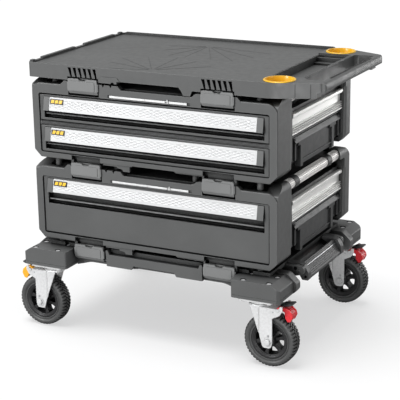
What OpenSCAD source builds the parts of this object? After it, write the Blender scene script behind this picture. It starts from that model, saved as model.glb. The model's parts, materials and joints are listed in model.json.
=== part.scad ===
// Rolling tool box: a wheeled dolly, a one-drawer box, a two-drawer box and a worktop,
// stacked and held together by front latches. Millimetres, +Z up, front towards -Y.
// The origin is on the floor, under the middle of the overall footprint.

/* [Storage boxes] */
// Width of a box across its front
box_w = 762; // [756:2:768]
// Depth of a box, front face to rear face
box_d = 530; // [526:2:534]
// Height of a box
box_h = 217; // [217:1:219]
// Gap between two stacked units
stack_gap = 26; // [26:1:27]
// Height of the lower box's underside above the floor
lower_z = 267; // [267:1:270]

/* [Drawers] */
// How far a drawer pulls out
drawer_travel = 400; // [300:10:410]
// Wall thickness of a drawer bin
bin_wall = 2.5; // [2:0.5:3]

/* [Worktop] */
// Distance from the boxes' middle to the outside of the push handle
handle_reach = 495; // [492:1:500]
// Height of the worktop's apron
apron_h = 41; // [41:1:43]
// Radius of a cup holder's well
cup_r = 40; // [36:1:40]

/* [Casters] */
// Wheel radius over the tread
wheel_r = 76.2; // [75:0.1:77]
// Tyre width
tyre_w = 46; // [40:1:46]
// Distance from the swivel axis to the axle, measured level
caster_trail = 36; // [32:1:38]
// Radius of the axle bolt
axle_r = 6; // [5:0.5:6]

/* [Hidden] */
$fn = 48;

plastic = [0.33, 0.34, 0.34];
dark_plastic = [0.24, 0.24, 0.25];
latch_grey = [0.52, 0.53, 0.53];
aluminium = [0.86, 0.87, 0.88];
zinc = [0.80, 0.81, 0.82];
steel = [0.62, 0.63, 0.65];
rubber_grey = [0.20, 0.20, 0.20];
rim_black = [0.10, 0.10, 0.10];
cup_yellow = [0.95, 0.70, 0.12];
brake_red = [0.85, 0.20, 0.22];
brake_orange = [0.95, 0.62, 0.15];

running = 0.05;
snug = 0.02;

// Stack levels
upper_z = lower_z + box_h + stack_gap;
worktop_seat = upper_z + box_h + stack_gap;
seats = [lower_z, upper_z, worktop_seat];
deck_z = lower_z - 12;

// Boxes
half_w = box_w / 2;
half_d = box_d / 2;
corner_cut = 24;
open_half = 358;
open_low = 16;
open_high = 188;
bezel_back = -145;
rear_start = half_d - 46;
wall_out = 360;
wall_in = 352;
grip_out = 335;
grip_in = 327;
grip_z = 175;
grip_roof = 171;
roof_z = 205;
floor_in_z = 12;
bar_x = 361;
bar_z = 213.5;
bar_r = 15;
ear_top = 232;
ear_end = -172;
bar_ends = [ear_end - 12, half_d - 66];

// Latches
latch_x = 208;
latch_w = 94;
pocket_half = 50;
latch_y = -half_d - 5;
latch_t = 8;
pin_y = -half_d + 7;
pin_drop = 45;
pin_r = 2;
pin_ends = 53;

// Worktop
apron_bottom = worktop_seat - 11;
top_z = apron_bottom + apron_h;
deck_top = top_z - 4;
top_left = -390;
top_half_d = half_d + 1;
cup_x = 366;
cup_y = 218;
trough_x = [322, 412];
trough_z = deck_top - 21;
hole_x = [421, 471];
hole_half = 188;
plate_end = 484;
handle_half = 215;

// The overall footprint runs from the left tyres to the push handle
axle_x = 330 + caster_trail;
box_cx = -(handle_reach - axle_x - wheel_r) / 2;

// Drawers: lowest point, highest point, lip height below the top edge, groove bottom
drawer_half = 355;
drawer_y = [-half_d + 3, -half_d + 25];
recess_half = 342;
drawer_1 = [upper_z + 109.5, upper_z + 184, 53, 67];
drawer_2 = [upper_z + 17, upper_z + 95, 53, 69];
drawer_3 = [lower_z + 19, lower_z + 187, 66, 81];
bin_1 = [upper_z + 114, upper_z + 167];
bin_2 = [upper_z + 22, upper_z + 92];
bin_3 = [lower_z + 24, lower_z + 166];
bin_half = 338;
bin_back = half_d - 32;
slide_y = [-half_d + 30, -half_d + 87 + drawer_travel];
slide_1_z = upper_z + 140;
slide_2_z = upper_z + 57;
slide_3_z = lower_z + 95;
pull_half = 322;
cap_half = 341;

// Casters
swivel_x = 330;
swivel_y = -half_d - 1;
pad_bottom = 195;
bolt_head_z = 239;
bolt_x = [-35, 41];
bolt_y = [-32, 24];
plate_t = 5;
head_z = 174;
leg_in = 27;
leg_t = 4;
fork_pin = [396, 172];
fork_pin_r = 3;
kingpin_r = 8;
crease_x = swivel_x + 8;

// Foot pedal
pedal_pin = [395, 236];
pedal_pin_r = 3.5;
pedal_half = 134;

function unit(v) = v / norm(v);

// Arc that rounds the corner c between its neighbours p and n
function corner(p, c, n, r, steps) =
    r <= 0 ? [c] :
    let (
        a = unit(p - c),
        b = unit(n - c),
        half = acos(a * b) / 2,
        centre = c + unit(a + b) * (r / sin(half)),
        start = c + a * (r / tan(half)) - centre,
        finish = c + b * (r / tan(half)) - centre,
        from = atan2(start[1], start[0]),
        raw = atan2(finish[1], finish[0]) - from,
        turn = raw > 180 ? raw - 360 : raw < -180 ? raw + 360 : raw
    )
    [for (i = [0:steps]) centre + r * [cos(from + turn * i / steps), sin(from + turn * i / steps)]];

// Outline with each corner rounded by its own radius
function rounded(points, radii, steps = 5) =
    let (n = len(points))
    [for (i = [0:n - 1])
        each corner(points[(i + n - 1) % n], points[i], points[(i + 1) % n], radii[i], steps)];

function rect(x0, y0, x1, y1) = [[x0, y0], [x1, y0], [x1, y1], [x0, y1]];

// Moves the boxes' middle to its place over the footprint
module placed() {
    translate([box_cx, 0, 0]) children();
}

// Extrudes an (x, z) outline from y0 to y1
module along_y(y0, y1) {
    translate([0, y1, 0]) rotate([90, 0, 0]) linear_extrude(height = y1 - y0) children();
}

// Extrudes a (y, z) outline from x0 to x1
module along_x(x0, x1) {
    translate([x0, 0, 0]) rotate([90, 0, 90]) linear_extrude(height = x1 - x0) children();
}

// Extrudes an (x, y) outline from z0 to z1
module along_z(z0, z1) {
    translate([0, 0, z0]) linear_extrude(height = z1 - z0) children();
}

// Block between two corners
module block(low, high) {
    translate(low) cube(high - low);
}

module both_sides() {
    children();
    mirror([1, 0, 0]) children();
}

module front_and_back() {
    children();
    mirror([0, 1, 0]) children();
}

module rod_x(x0, x1, y, z, r) {
    translate([x0, y, z]) rotate([0, 90, 0]) cylinder(h = x1 - x0, r = r);
}

module rod_y(y0, y1, x, z, r) {
    translate([x, y0, z]) rotate([-90, 0, 0]) cylinder(h = y1 - y0, r = r);
}

// ---------------------------------------------------------------- boxes

// Outline of a box seen from the front: lower corners cut off, upper corners well rounded
module box_outline(z0, inset = 0) {
    w = half_w - inset;
    c = corner_cut;
    low = z0 + inset;
    high = z0 + box_h - inset;
    polygon(rounded(
        [[-w + c, low], [w - c, low], [w, low + c], [w, high], [-w, high], [-w, low + c]],
        [8, 8, 12, 32, 32, 12]));
}

// Solid end block of a box, with its inner edge rolled over towards the side panels
module end_block(z0, end, roll) {
    back = end - 6;
    union() {
        intersection() {
            along_y(-half_d, back) box_outline(z0);
            along_z(z0 - 1, z0 + box_h + 1)
                polygon(rounded(rect(-half_w, -half_d, half_w, back), [5, 5, roll, roll]));
            along_x(-half_w - 1, half_w + 1)
                polygon(rounded(rect(-half_d, z0, back, z0 + box_h), [3, 12, 12, 3]));
        }
        along_y(back - 14, end) box_outline(z0, 10);
    }
}

// Ear that rises from an upper corner of a box and holds one end of a carrying bar
module bar_ear(z0) {
    top = z0 + ear_top;
    difference() {
        intersection() {
            along_x(342, half_w) polygon(rounded(
                [[-half_d + 4, top - 62], [ear_end, top - 62], [ear_end, top], [-half_d + 58, top],
                 [-half_d + 4, top - 22]], [0, 0, 5, 40, 6]));
            along_y(-half_d, 0) polygon(rounded(
                rect(342, top - 62, half_w, top), [0, 0, 20, 8]));
        }
        rod_y(bar_ends[0], ear_end + 1, bar_x, z0 + bar_z, bar_r + snug);
    }
}

// Upper edge of the front bezel: posts beside each latch and the toothed stop
module top_edge(z0) {
    t = z0 + box_h;
    along_y(-half_d, -half_d + 18) {
        polygon([[-286, t - 3], [-270, t + 12], [-262, t + 12], [-258, t + 8], [-258, t - 3]]);
        polygon([
            [-158, t - 6], [-158, t + 9], [-148, t + 9], [-144, t + 1], [-140, t + 9], [-124, t + 9],
            [-120, t + 1], [-116, t + 9], [-98, t + 9], [-88, t - 2], [-88, t - 6]
        ]);
        polygon([[126, t - 6], [130, t - 2], [140, t + 7], [148, t + 9], [158, t + 9], [158, t - 6]]);
        polygon([[258, t - 3], [258, t + 8], [262, t + 10], [266, t + 8], [276, t - 3]]);
    }
}

// Catch that hangs from the unit above and takes a latch's hook
module catch(x, seat) {
    block([x - 38, -half_d + 13, seat - 16], [x + 38, -half_d + 19, seat + 4]);
    block([x - 36, -half_d + 7, seat - 16], [x + 36, -half_d + 13, seat - 10]);
}

// Room for a latch in the unit that carries its pin
module latch_pocket(x, seat) {
    block([x - pocket_half, -half_d - 1, seat - 54], [x + pocket_half, -half_d + 19.5, seat]);
    rod_x(x - pin_ends - 1, x + pin_ends + 1, pin_y, seat - pin_drop, pin_r + snug);
}

module front_bezel(z0) {
    t = z0 + box_h;
    difference() {
        union() {
            end_block(z0, bezel_back, 30);
            top_edge(z0);
            both_sides() bar_ear(z0);
        }
        along_y(-half_d - 1, bezel_back + 1)
            polygon(rounded(rect(-open_half, z0 + open_low, open_half, z0 + open_high), [6, 6, 6, 6]));
        for (x = [-latch_x, latch_x]) {
            latch_pocket(x, z0 + box_h + stack_gap);
            block([x - 48, -half_d - 1, z0 - 1], [x + 46, -half_d + 14, z0 + 15]);
        }
        block([-88, -half_d - 1, t - 2], [126, -half_d + 18, t + 1]);
        block([-130, -half_d - 1, t - 26], [126, -half_d + 3, t - 18]);
        both_sides() rod_y(bar_ends[0], bezel_back + 1, bar_x, z0 + bar_z, bar_r + snug);
        block([-156, -half_d - 1, z0 - 1], [-70, -half_d + 10, z0 + 2]);
        block([-60, -half_d - 1, z0 - 1], [74, -half_d + 12, z0 + 4]);
        block([280, -half_d + 20, t - 6], [340, -half_d + 85, t + 1]);
        block([-340, -half_d + 20, t - 6], [-280, -half_d + 85, t + 1]);
    }
    for (x = [-latch_x, latch_x]) catch(x, z0);
    // Bracket under the front edge
    along_y(-half_d + 4, -half_d + 13) polygon([
        [-155, z0 + 4], [-155, z0 - 4], [-112, z0 - 4], [-108, z0 - 8], [-94, z0 - 10], [-90, z0 - 16],
        [-70, z0 - 16], [-70, z0 + 4]
    ]);
    along_y(-half_d + 4, -half_d + 15) polygon(rect(76, z0 - 2, 156, z0 + 2));
    both_sides() along_y(-half_d + 4, -half_d + 16) polygon(rect(252, z0 - 16, 259, z0 + 2));
    along_y(-half_d + 4, -half_d + 16) polygon(rect(157, z0 - 16, 162, z0 + 2));
}

module upper_front_bezel() placed() color(plastic) {
    divider = upper_z + 102;
    front_bezel(upper_z);
    difference() {
        along_x(-open_half - 2, open_half + 2)
            polygon(rect(-half_d + 3, divider - 5.5, -half_d + 26, divider + 5.5));
        for (dz = [-3.5, -0.5, 2.5])
            block([-open_half, -half_d + 2, divider + dz], [open_half, -half_d + 4.5, divider + dz + 1.2]);
    }
}

module lower_front_bezel() placed() color(plastic) front_bezel(lower_z);

// Ear of a rear cover: it reaches forward over the side panel to meet the carrying bar
module rear_ear(z0) {
    top = z0 + ear_top;
    front = bar_ends[1] - 12;
    difference() {
        intersection() {
            along_x(342, half_w) polygon(rounded(
                [[front, top - 30], [rear_start + 4, top - 30], [rear_start + 4, top - 62],
                 [half_d - 4, top - 62], [half_d - 4, top - 28], [half_d - 22, top - 6],
                 [half_d - 40, top], [front, top]], [4, 8, 0, 0, 10, 10, 8, 18]));
            along_y(0, half_d) polygon(rounded(
                rect(342, top - 62, half_w, top), [0, 0, 20, 8]));
        }
        rod_y(front - 1, bar_ends[1], bar_x, z0 + bar_z, bar_r + snug);
    }
}

module rear_cover(z0) {
    difference() {
        union() {
            mirror([0, 1, 0]) end_block(z0, -rear_start, 8);
            both_sides() rear_ear(z0);
        }
        block([-open_half, rear_start - 1, z0 + open_low], [open_half, half_d - 18, z0 + open_high]);
        block([-334, rear_start - 1, z0 + 6], [334, rear_start + 16, z0 + roof_z]);
        for (x = [-230, 0, 230]) block([x - 100, half_d - 6, z0 + 40], [x + 100, half_d + 1, z0 + 170]);
        for (x = [-latch_x, latch_x])
            block([x - 50, half_d - 12, z0 + box_h - 20], [x + 50, half_d + 1, z0 + box_h + 1]);
    }
}

module rear_covers() placed() color(plastic) {
    rear_cover(lower_z);
    rear_cover(upper_z);
}

// Outline of the shell between the two end blocks
module shell_outline(z0, side, grip_side, low, shoulder, high, cut) {
    polygon([
        [-side + cut, z0 + low], [side - cut, z0 + low], [side, z0 + low + cut], [side, z0 + shoulder],
        [grip_side, z0 + shoulder], [grip_side, z0 + high], [-grip_side, z0 + high],
        [-grip_side, z0 + shoulder], [-side, z0 + shoulder], [-side, z0 + low + cut]
    ]);
}

// Moulded side panel: a sloping ledge under the rail, a flat field between two T-shaped stems
module side_ribs(z0) {
    x0 = wall_out - 1;
    block([x0, bezel_back, z0 + 97], [x0 + 8, rear_start, z0 + 101]);
    along_y(-118, rear_start) polygon([
        [x0, z0 + 76], [x0 + 11, z0 + 76], [x0 + 11, z0 + 79], [x0 + 3, z0 + 92], [x0, z0 + 92]
    ]);
    block([x0 - 4, -76, z0 + 8], [x0 + 5, 154, z0 + 78]);
    for (y = [-75, 154]) {
        along_y(y - 8, y + 8) polygon(rect(x0 - 6, z0 + 5, x0 + 11, z0 + 78));
        along_y(y - 23, y + 23) polygon([
            [x0, z0 + 62], [x0 + 11, z0 + 68], [x0 + 11, z0 + 78], [x0, z0 + 78]
        ]);
    }
    for (y = [-112, 204]) block([x0 - 2, y - 4, z0 + 28], [x0 + 8, y + 4, z0 + 90]);
    block([x0, -68, z0 + 18], [x0 + 8, 147, z0 + 22]);
}

module housing(z0) {
    difference() {
        along_y(bezel_back, rear_start)
            shell_outline(z0, wall_out, grip_out, 2, grip_z, box_h - 2, corner_cut);
        along_y(bezel_back - 1, rear_start + 1)
            shell_outline(z0, wall_in, grip_in, floor_in_z, grip_roof, roof_z, 12);
        for (x = [-200, 0, 200])
            block([x - 80, -100, z0 + roof_z + 6], [x + 80, 150, z0 + box_h + 1]);
    }
    both_sides() side_ribs(z0);
}

module upper_housing() placed() color(dark_plastic) housing(upper_z);
module lower_housing() placed() color(dark_plastic) housing(lower_z);

// Extruded rail: a hooked lip, a flat band and a fluted lower edge
module rail(z0) {
    b = z0 + 106;
    flute = [for (i = [0:2]) each [[372, b + 3 + i * 6], [368, b + 6 + i * 6]]];
    along_y(bezel_back, rear_start) polygon(concat(
        [[wall_out, b], [372, b]], flute,
        [[372, b + 21], [365, b + 24], [365, b + 44], [371, b + 47], [374, b + 50], [374, b + 57],
         [371, b + 59], [wall_out, b + 59]]
    ));
}

module side_rails() placed() color(aluminium)
    for (z0 = [lower_z, upper_z]) both_sides() rail(z0);

module side_handles() placed() color(aluminium)
    for (z0 = [lower_z, upper_z]) both_sides() difference() {
        rod_y(bar_ends[0], bar_ends[1], bar_x, z0 + bar_z, bar_r);
        rod_y(bar_ends[0] - 1, bar_ends[1] + 1, bar_x, z0 + bar_z, bar_r - 3);
    }

module handle_collars() placed() color(dark_plastic)
    for (z0 = [lower_z, upper_z], y = [-119, 119]) both_sides() difference() {
        rod_y(y - 14, y + 14, bar_x, z0 + bar_z, bar_r + 2);
        rod_y(y - 15, y + 15, bar_x, z0 + bar_z, bar_r + snug);
    }

module feet(z_low, z_high) {
    for (x = [-318, -124, 124, 318], y = [-235, 235])
        translate([x, y, z_low]) cylinder(h = z_high - z_low, r = 9);
}

module stacking_feet() placed() color(dark_plastic) {
    feet(deck_z, lower_z);
    feet(lower_z + box_h, upper_z);
    feet(upper_z + box_h, deck_top - 10);
}

// ---------------------------------------------------------------- drawers

// Channel of a ball-bearing slide, open towards the drawer
module slide_channel(x_web, x_lip, half_h, y0, y1, z) {
    t = 1.4;
    along_y(y0, y1) polygon([
        [x_web, z - half_h], [x_web, z + half_h], [x_lip, z + half_h], [x_lip, z + half_h - t],
        [x_web - t, z + half_h - t], [x_web - t, z - half_h + t], [x_lip, z - half_h + t],
        [x_lip, z - half_h]
    ]);
}

module slide_outer_members() placed() color(steel)
    for (z = [slide_1_z, slide_2_z, slide_3_z])
        both_sides() slide_channel(wall_in, wall_in - 9, 20, slide_y[0] + 77, slide_y[1] - 22, z);

module slide_middle(z) placed() color(steel)
    both_sides() slide_channel(wall_in - 2.2, wall_in - 10, 17.8, slide_y[0] + 77, slide_y[1] - 26, z);

module slide_inner(z) placed() color(steel) both_sides() {
    along_y(slide_y[0] + 2, slide_y[1] - 30)
        polygon(rect(bin_half, z - 15.4, bin_half + 1.6, z + 15.4));
    along_y(slide_y[0] + 2, slide_y[1] - 30)
        polygon(rect(bin_half + 1.6, z - 12, wall_in - 4.6, z + 12));
}

module drawer_bin(levels) placed() color(steel) difference() {
    block([-bin_half, drawer_y[1], levels[0]], [bin_half, bin_back, levels[1]]);
    block(
        [-bin_half + bin_wall, drawer_y[1] + bin_wall, levels[0] + bin_wall],
        [bin_half - bin_wall, bin_back - bin_wall, levels[1] + 1]
    );
}

// Moulded drawer front with the finger recess behind and below its pull
module drawer_front(d) placed() color(plastic) {
    top = d[1];
    face = drawer_y[0];
    difference() {
        along_x(-drawer_half, drawer_half)
            polygon(rounded(rect(face, d[0], drawer_y[1], top), [2, 0, 0, 2]));
        along_x(-recess_half, recess_half) polygon([
            [face - 1, top - 6], [face + 14, top - 6], [face + 15, top - d[2] + 2],
            [face + 6, top - d[2]], [face + 4, top - d[2] - 4], [face + 15, top - d[2] - 6],
            [face + 14, top - d[3]], [face - 1, top - d[3]]
        ]);
    }
}

// Section of the pull: a tilted plate with a curled lower lip
module pull_section(top, grow) {
    face = drawer_y[0];
    g = grow;
    polygon([
        [face - 1 - g, top - 7 + g], [face - 7 - g, top - 40], [face - 8 - g, top - 45 - g],
        [face - 4, top - 46 - g], [face + 1, top - 44], [face + 1, top - 41], [face - 2, top - 40],
        [face + 4, top - 10], [face + 14, top - 10], [face + 14, top - 7 + g]
    ]);
}

module drawer_pull(d) placed() color(aluminium)
    along_x(-pull_half, pull_half) pull_section(d[1], 0);

module drawer_end_caps(d) placed() color(dark_plastic)
    both_sides() along_x(pull_half, cap_half) pull_section(d[1], 0.8);

module drawer_1_bin() drawer_bin(bin_1);
module drawer_2_bin() drawer_bin(bin_2);
module drawer_3_bin() drawer_bin(bin_3);
module drawer_1_front() drawer_front(drawer_1);
module drawer_2_front() drawer_front(drawer_2);
module drawer_3_front() drawer_front(drawer_3);
module drawer_1_pull() drawer_pull(drawer_1);
module drawer_2_pull() drawer_pull(drawer_2);
module drawer_3_pull() drawer_pull(drawer_3);
module drawer_1_end_caps() drawer_end_caps(drawer_1);
module drawer_2_end_caps() drawer_end_caps(drawer_2);
module drawer_3_end_caps() drawer_end_caps(drawer_3);
module drawer_1_slide_inner() slide_inner(slide_1_z);
module drawer_2_slide_inner() slide_inner(slide_2_z);
module drawer_3_slide_inner() slide_inner(slide_3_z);
module drawer_1_slide_middle() slide_middle(slide_1_z);
module drawer_2_slide_middle() slide_middle(slide_2_z);
module drawer_3_slide_middle() slide_middle(slide_3_z);

// ---------------------------------------------------------------- latches

// Latch plate with hinge knuckles below and a hook behind its upper edge
module latch(side, seat) placed() color(latch_grey) translate([side * latch_x, 0, seat]) {
    half = latch_w / 2;
    difference() {
        union() {
            along_y(latch_y, latch_y + latch_t)
                polygon(rounded(rect(-half, -48, half, -5), [4, 4, 4, 4]));
            along_y(latch_y - 1.5, latch_y + 1)
                polygon(rounded(rect(-half + 8, -38.5, half - 8, -12), [3, 3, 3, 3]));
            for (x = [-half - 2.5, half - 1.5])
                block([x, latch_y + 1, -38], [x + 4, latch_y + latch_t, -16]);
            for (x = [-40, 14]) {
                block([x, latch_y + latch_t - 1, -pin_drop - 3], [x + 26, pin_y, -pin_drop + 4]);
                rod_x(x, x + 26, pin_y, -pin_drop, 4.5);
            }
            block([-35, latch_y + latch_t - 1, -9.5], [35, -half_d + 9.5, -5]);
        }
        along_y(latch_y - 3, latch_y + latch_t + 1)
            polygon(rounded([[-15, -4], [-9, -10], [9, -10], [15, -4]], [0, 3, 3, 0]));
        rod_x(-half, half, pin_y, -pin_drop, pin_r + running);
        // Slanted lower front edge, clear of the unit below when the latch swings down
        along_x(-half - 1, half + 1) polygon([
            [latch_y - 3, -39.5], [latch_y, -39.5], [latch_y + 6, -48.1], [latch_y + 6, -49],
            [latch_y - 3, -49]
        ]);
    }
}

module dolly_latch_left() latch(-1, seats[0]);
module dolly_latch_right() latch(1, seats[0]);
module upper_latch_left() latch(-1, seats[1]);
module upper_latch_right() latch(1, seats[1]);
module worktop_latch_left() latch(-1, seats[2]);
module worktop_latch_right() latch(1, seats[2]);

module hinge_pins() placed() color(steel) {
    for (seat = seats, x = [-latch_x, latch_x])
        rod_x(x - pin_ends, x + pin_ends, pin_y, seat - pin_drop, pin_r);
    rod_y(-pedal_half - 14, pedal_half + 14, pedal_pin[0], pedal_pin[1], pedal_pin_r);
}

// Sliding bar that locks the drawers of a box
module lock_bar(z0) placed() color(zinc) {
    t = z0 + box_h;
    difference() {
        block([-124, -half_d - 1.2, t - 25], [116, -half_d + 2.6, t - 19]);
        block([49, -half_d - 2, t - 23.5], [55, -half_d + 3, t - 20.5]);
    }
    block([-18, -half_d - 2.4, t - 24], [-12, -half_d, t - 20]);
    block([57, -half_d - 4.5, t - 24.5], [60, -half_d, t - 15]);
}

module upper_lock_bar() lock_bar(upper_z);
module lower_lock_bar() lock_bar(lower_z);

// ---------------------------------------------------------------- worktop

// Plan of the worktop
top_plan = rounded(
    [
        [top_left, -top_half_d], [363.5, -top_half_d], [plate_end, -216], [plate_end, 216],
        [363.5, top_half_d], [top_left, top_half_d]
    ],
    [14, 100, 6, 6, 100, 14], 6
);

// Tube that closes the hand opening on the right
module push_handle() {
    intersection() {
        along_y(-handle_half, handle_half) polygon(rounded(
            rect(hole_x[1], apron_bottom + 14, handle_reach, top_z), [8, 11, 11, 8]));
        along_z(apron_bottom, top_z + 1) polygon(rounded(
            rect(hole_x[1] - 1, -handle_half, handle_reach, handle_half), [0, 9, 9, 0]));
    }
}

module worktop() placed() color(plastic) {
    b = apron_bottom;
    difference() {
        union() {
            along_z(b, top_z) polygon(top_plan);
            // Raised lengths of rim on the left, and the rim at the back
            for (y = [-198, 31]) block([top_left, y, top_z - 1], [top_left + 10, y + 173, top_z + 4]);
            for (y = [-252, 238]) block([top_left, y, top_z - 1], [top_left + 10, y + 14, top_z + 4]);
            along_y(top_half_d - 12, top_half_d) polygon([
                [-374, top_z - 1], [332, top_z - 1], [326, top_z + 3], [-370, top_z + 3]
            ]);
            // Skirt that drops to the box between the latches
            along_y(-top_half_d, -half_d + 14) polygon([
                [94, b + 8], [106, b - 14.5], [126, b - 14.5], [136, b + 8]
            ]);
            along_y(-top_half_d - 2, -half_d) polygon([
                [-156, b + 6], [-146, b + 17], [-98, b + 17], [-88, b + 6], [-96, b], [-148, b]
            ]);
        }
        // Work surface
        along_z(deck_top, top_z + 1) polygon(rounded(
            [[top_left + 10, -top_half_d + 5], [316, -top_half_d + 5],
             [316, top_half_d - 12], [top_left + 10, top_half_d - 12]], [8, 2, 2, 8]));
        along_z(deck_top, top_z + 1) polygon(rounded(
            rect(315, -172, trough_x[1], 172), [4, 4, 4, 4]));
        // Hollow underside
        along_z(b - 1, deck_top - 10) polygon(rounded(
            rect(top_left + 6, -top_half_d + 17, 312, top_half_d - 6), [8, 2, 2, 8]));
        along_z(b - 1, b + 9) polygon(rounded(
            rect(300, -top_half_d + 17, 404, top_half_d - 17), [2, 8, 8, 2]));
        for (y = [-235, 235]) translate([318, y, b - 1]) cylinder(h = deck_top - 9 - b, r = 9 + snug);
        // Trough, with a step across its rear end
        difference() {
            along_z(trough_z, top_z + 1)
                polygon(rounded(rect(trough_x[0], -168, trough_x[1], 168), [10, 10, 10, 10]));
            block([300, 122, trough_z - 1], [430, 144, trough_z + 6]);
            block([300, 143, trough_z - 1], [430, 170, trough_z + 12]);
            block([300, 143, trough_z - 1], [430, 149, trough_z + 18]);
        }
        // Cup wells
        for (y = [-cup_y, cup_y]) translate([cup_x, y, b - 1]) cylinder(h = apron_h + 2, r = cup_r);
        // Hand opening, and the step under the push handle
        along_z(b - 1, top_z + 1) polygon(rounded(
            rect(hole_x[0], -hole_half, plate_end + 1, hole_half), [14, 0, 0, 14]));
        block([hole_x[1], -top_half_d, b - 1], [plate_end + 1, top_half_d, b + 14]);
        // Vent slots and latch room in the apron
        for (x = [-latch_x, latch_x]) {
            for (i = [0:5])
                along_y(-top_half_d - 1, -top_half_d + 12) polygon([
                    [x - 39 + i * 16, b + 8], [x - 34 + i * 16, b + 8],
                    [x - 37.5 + i * 16, b + 36], [x - 48 + i * 16, b + 36]
                ]);
            block(
                [x - pocket_half, -top_half_d - 1, b - 1],
                [x + pocket_half, -top_half_d + 14, b + 10]
            );
        }
        // Hand slot over the middle of the box, and the padlock hole
        along_y(-top_half_d - 3, -half_d + 17)
            polygon([[-99, b - 1], [-99, b + 7], [92, b + 7], [98, b - 1]]);
        // Seams in the slanted corner beside the push handle
        for (p = [[420, -242.6], [457, -227.2]])
            translate([p[0], p[1], b - 1]) cylinder(h = apron_h - 2, r = 1);
        rod_y(-top_half_d - 4, -half_d + 17, -112, b - 1, 5.5);
    }
    push_handle();
    for (x = [-latch_x, latch_x]) catch(x, worktop_seat);
    // Stiffening ribs underneath
    for (x = [-200, 0, 200])
        block([x - 2, -top_half_d + 17, b + 9], [x + 2, top_half_d - 6, deck_top - 9]);
}

module worktop_grip() placed() color(rubber_grey) {
    for (i = [0:2]) block([479 + i * 2, -150, top_z], [480 + i * 2, 150, top_z + 1.2]);
}

module cup_holders() placed() color(cup_yellow)
    for (y = [-cup_y, cup_y]) translate([cup_x, y, 0]) rotate_extrude() polygon([
        [0, top_z - 30], [cup_r - 4, top_z - 30], [cup_r - snug, top_z - 26], [cup_r - snug, top_z],
        [cup_r + 3.5, top_z], [cup_r + 3.5, top_z + 1.5], [cup_r + 1.5, top_z + 3],
        [cup_r - 2, top_z + 3], [cup_r - 3, top_z - 2], [cup_r - 6, top_z - 27], [0, top_z - 27]
    ]);

// ---------------------------------------------------------------- dolly

// Corner pad over a caster with a flange at its inner end, drawn for the front right corner
module pad() {
    intersection() {
        along_z(pad_bottom, 246) polygon(rounded(
            [[262, -312], [398, -312], [406, -303], [406, -196], [262, -196]], [8, 5, 5, 3, 4]));
        along_y(-320, -190) polygon(rounded(
            [[240, pad_bottom - 1], [408, pad_bottom - 1], [408, 228], [380, 246], [240, 246]],
            [0, 0, 10, 8, 0]));
    }
    along_y(-216, -190) polygon(rounded(
        [[300, pad_bottom], [408, pad_bottom], [416, 206], [416, 224], [388, 249], [300, 249]],
        [0, 6, 6, 12, 14, 4]));
}

module dolly_frame() {
    beam = 208;
    // Deck and the beams around it
    block([-352, -half_d + 17, deck_z - 10], [352, half_d - 17, deck_z]);
    front_and_back() {
        block([-352, -half_d + 17, beam], [352, -half_d + 40, deck_z - 5]);
        along_y(-half_d - 1, -half_d + 18) polygon([
            [-152, beam], [-71, beam], [-64, 220], [66, 220], [73, beam], [154, beam],
            [154, 253], [151, 256], [147, 253], [143, 243], [-143, 243], [-147, 253], [-151, 256],
            [-154, 253]
        ]);
        // Arched webs from the beam to the pads
        both_sides() along_y(-half_d + 17, -half_d + 40) polygon(rounded(
            [[154, 225], [154, 206], [214, 206], [262, 192], [262, 225]], [0, 0, 60, 0, 0], 8));
    }
    both_sides() block([318, -200, beam], [345, 200, deck_z - 5]);
    front_and_back() both_sides() pad();
    // Lugs for the foot pedal's pin on the right, a plain bumper on the left
    front_and_back() along_y(-pedal_half - 16, -pedal_half - 3) polygon(rounded(
        [[340, 212], [388, 222], [409, 228], [409, 248], [388, 252], [340, 252]], [0, 4, 8, 8, 6, 0]));
    along_y(-192, 192) polygon(rounded(
        [[-340, 250], [-340, 212], [-388, 216], [-396, 232], [-384, 250]], [0, 0, 8, 8, 6]));
}

module dolly_base() placed() color(plastic) difference() {
    dolly_frame();
    for (x = [-latch_x, latch_x]) latch_pocket(x, lower_z);
    front_and_back() both_sides() {
        // Screw wells and holes through each pad
        for (x = bolt_x, y = bolt_y) translate([swivel_x + x, swivel_y + y, 0]) {
            translate([0, 0, bolt_head_z]) cylinder(h = 20, r = 9);
            translate([0, 0, pad_bottom - 1]) cylinder(h = 60, r = 4 + snug);
        }
        // Parting line around the pad
        difference() {
            block([240, -314, 203], [410, -217, 204.2]);
            block([263.2, -310.8, 202], [404.8, -210, 205]);
        }
        // Hollow in the flange's end face
        block([338, -204, 204], [392, -189, 236]);
    }
    rod_y(-pedal_half - 17, pedal_half + 17, pedal_pin[0], pedal_pin[1], pedal_pin_r + snug);
    // Hollow in the outer face of each pedal lug
    front_and_back() rod_y(-pedal_half - 17, -pedal_half - 9, 384, 243, 5.5);
}

module caster_plates() placed() color(zinc) front_and_back() both_sides() {
    difference() {
        union() {
            along_z(pad_bottom - plate_t, pad_bottom) polygon(rounded(
                rect(swivel_x - 48, swivel_y - 44, swivel_x + 54, swivel_y + 44), [8, 8, 8, 8]));
            translate([swivel_x, swivel_y, head_z + 4.5])
                cylinder(h = pad_bottom - plate_t - head_z - 4.4, r = 27);
        }
        for (x = bolt_x, y = bolt_y)
            translate([swivel_x + x, swivel_y + y, pad_bottom - 6]) cylinder(h = 8, r = 4 + snug);
    }
    translate([swivel_x, swivel_y, head_z - 10]) cylinder(h = 16, r = kingpin_r);
    translate([swivel_x, swivel_y, head_z - 10]) cylinder(h = 5, r = kingpin_r + 5);
}

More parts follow.
